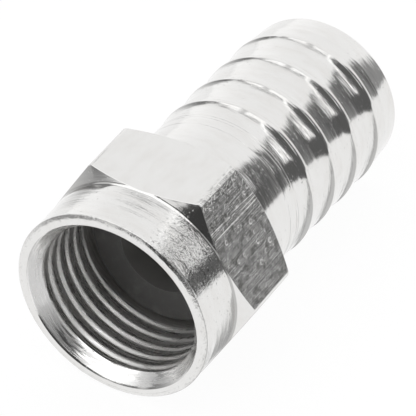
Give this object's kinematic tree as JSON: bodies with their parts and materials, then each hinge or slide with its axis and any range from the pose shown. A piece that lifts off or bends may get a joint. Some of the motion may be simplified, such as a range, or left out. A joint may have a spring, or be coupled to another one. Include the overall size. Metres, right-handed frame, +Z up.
{
  "type": "f connector",
  "caption": "Crimp-on F connector for coaxial cable: a free-spinning hexagonal coupling nut on a tubular centre post, with a ribbed crimp sleeve behind it.",
  "frame": {"origin": "under the middle of the connector's bounding box, on the table that it lies on", "axes": "+Z up; +Y along the coupling nut's axis from its mouth to its rear; the mouth faces -Y"},
  "size_m": [0.0126, 0.0218, 0.011],
  "materials": {
    "nickel_plated_brass": "bright nickel plate over turned brass, with fine scratches and some pits"
  },
  "bodies": {
    "post_and_sleeve": {"center_post": "nickel_plated_brass", "crimp_sleeve": "nickel_plated_brass"},
    "nut": {"coupling_nut": "nickel_plated_brass"}
  },
  "joints": [
    {"name": "nut_spin", "type": "hinge", "parent": "post_and_sleeve", "child": "nut", "pos_m": [0, -0.00436, 0.0055], "axis": [0, 1, 0], "continuous": true}
  ]
}
